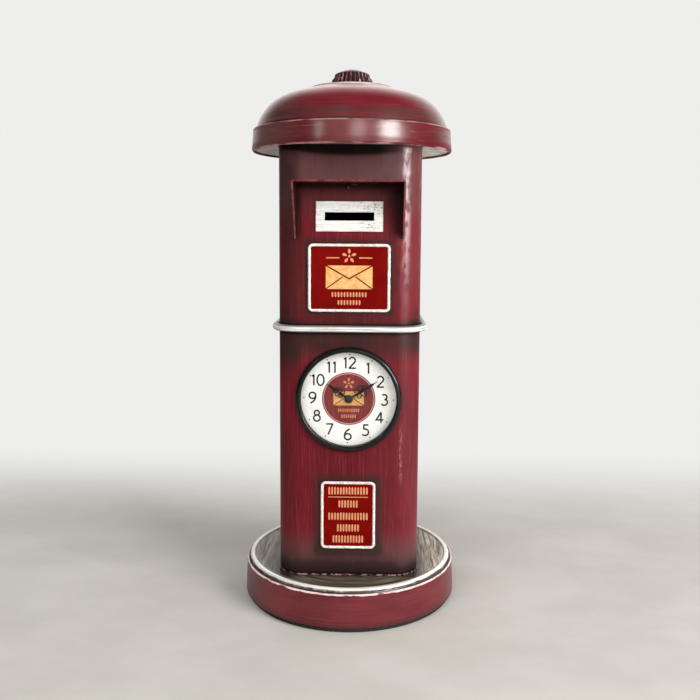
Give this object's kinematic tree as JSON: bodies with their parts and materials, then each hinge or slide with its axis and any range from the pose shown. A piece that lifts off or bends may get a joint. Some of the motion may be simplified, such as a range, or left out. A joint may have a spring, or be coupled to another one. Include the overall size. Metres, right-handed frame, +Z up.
{
  "type": "mailbox",
  "caption": "Table-top pillar-style mailbox in painted tin: square column on a round base, domed lift-off lid, hooded coin slot and a push-in quartz clock.",
  "frame": {"origin": "centre of the round foot, on the surface it stands on", "axes": "+Z up, front with the slot and the clock towards -Y, +X to the viewer's right"},
  "size_m": [0.1336, 0.1336, 0.3289],
  "materials": {
    "burgundy_paint": "satin burgundy paint, smoked dark at corners, edges dry-brushed",
    "silver_paint": "brushed-on silver paint with wear",
    "white_brushed_frame": "dark red with raised edge dry-brushed white",
    "plate_print": "flat bright red print with gold ornament",
    "raw_tin": "grey mottled tin",
    "solder": "dull solder",
    "foot_foam": "black foam pad",
    "zinc_steel": "zinc-plated",
    "bezel_black": "gloss black",
    "clear_lens": "clear",
    "dial_print": "matt off-white with dark numerals",
    "black_plastic": "matt black",
    "white_plastic": "matt white",
    "gear_plastic": "natural acetal",
    "soft_rubber": "soft black",
    "brass": "bright",
    "magnet": "sintered grey",
    "copper_wire": "enamelled copper",
    "board": "green solder mask",
    "hand_black": "satin black"
  },
  "bodies": {
    "box": {"foot_pad": "foot_foam", "base_plate": "raw_tin", "base_pan": "burgundy_paint", "base_weld_beads": "solder", "column": "burgundy_paint", "slot_hood": "burgundy_paint", "slot_plate": "silver_paint", "name_plate_frame": "white_brushed_frame", "name_plate_panel": "plate_print", "notice_plate_frame": "white_brushed_frame", "notice_plate_panel": "plate_print", "band_ring": "silver_paint"},
    "lid": {"lid_collar": "raw_tin", "lid_collar_straps": "raw_tin", "lid_dome": "burgundy_paint", "lid_knob": "burgundy_paint", "lid_knob_screw": "zinc_steel", "lid_knob_washer": "zinc_steel", "lid_top_disc": "burgundy_paint", "lid_underside": "raw_tin"},
    "clock": {"clock_bezel": "bezel_black", "clock_lens": "clear_lens", "clock_dial": "dial_print", "clock_housing": "black_plastic", "clock_fit_ring": "soft_rubber", "movement_front_case": "white_plastic", "movement_bridge": "white_plastic", "movement_back_case": "black_plastic", "movement_screws": "zinc_steel", "stator": "zinc_steel", "coil": "copper_wire", "circuit_board": "board", "driver_chip": "black_plastic", "quartz_crystal": "zinc_steel", "button_cell": "zinc_steel", "battery_contacts": "brass"},
    "minute_arbor": {"centre_wheel": "gear_plastic", "cannon_pinion": "brass", "minute_hand": "hand_black", "hand_cap": "hand_black"},
    "hour_pipe": {"hour_wheel": "gear_plastic", "hour_hand": "hand_black"},
    "motion_wheel": {"minute_wheel": "gear_plastic"},
    "setting": {"setting_stem": "white_plastic", "setting_knob": "black_plastic"},
    "step": {"step_wheel": "gear_plastic"},
    "rotor": {"rotor_arbor": "zinc_steel", "rotor_magnet": "magnet"},
    "battery_door": {"battery_cover": "black_plastic"}
  },
  "joints": [
    {"name": "lid_lift", "type": "slide", "parent": "box", "child": "lid", "axis": [0, 0, 1], "range_m": [0, 0.05]},
    {"name": "clock_pull", "type": "slide", "parent": "box", "child": "clock", "axis": [0, -1, 0], "range_m": [0, 0.03]},
    {"name": "battery_cover_pull", "type": "slide", "parent": "clock", "child": "battery_door", "axis": [0, 1, 0], "range_m": [0, 0.01]},
    {"name": "minute_turn", "type": "hinge", "parent": "clock", "child": "minute_arbor", "pos_m": [0, -0.038, 0.1322], "axis": [0, 1, 0], "continuous": true},
    {"name": "hour_turn", "type": "hinge", "parent": "clock", "child": "hour_pipe", "pos_m": [0, -0.039, 0.1322], "axis": [0, 1, 0], "continuous": true},
    {"name": "motion_turn", "type": "hinge", "parent": "clock", "child": "motion_wheel", "pos_m": [0.003, -0.0375, 0.1374], "axis": [0, 1, 0], "continuous": true},
    {"name": "setting_turn", "type": "hinge", "parent": "clock", "child": "setting", "pos_m": [0.00615, -0.032, 0.14285], "axis": [0, 1, 0], "continuous": true},
    {"name": "step_turn", "type": "hinge", "parent": "clock", "child": "step", "pos_m": [-0.00958, -0.033, 0.12871], "axis": [0, 1, 0], "continuous": true},
    {"name": "rotor_turn", "type": "hinge", "parent": "clock", "child": "rotor", "pos_m": [-0.00958, -0.032, 0.12196], "axis": [0, 1, 0], "continuous": true}
  ],
  "couplings": [
    {"joint": "hour_turn", "follows": "minute_turn", "ratio": 0.083333},
    {"joint": "motion_turn", "follows": "minute_turn", "ratio": -0.33333},
    {"joint": "setting_turn", "follows": "minute_turn", "ratio": 0.83333},
    {"joint": "step_turn", "follows": "minute_turn", "ratio": -7.5},
    {"joint": "rotor_turn", "follows": "minute_turn", "ratio": 60}
  ]
}
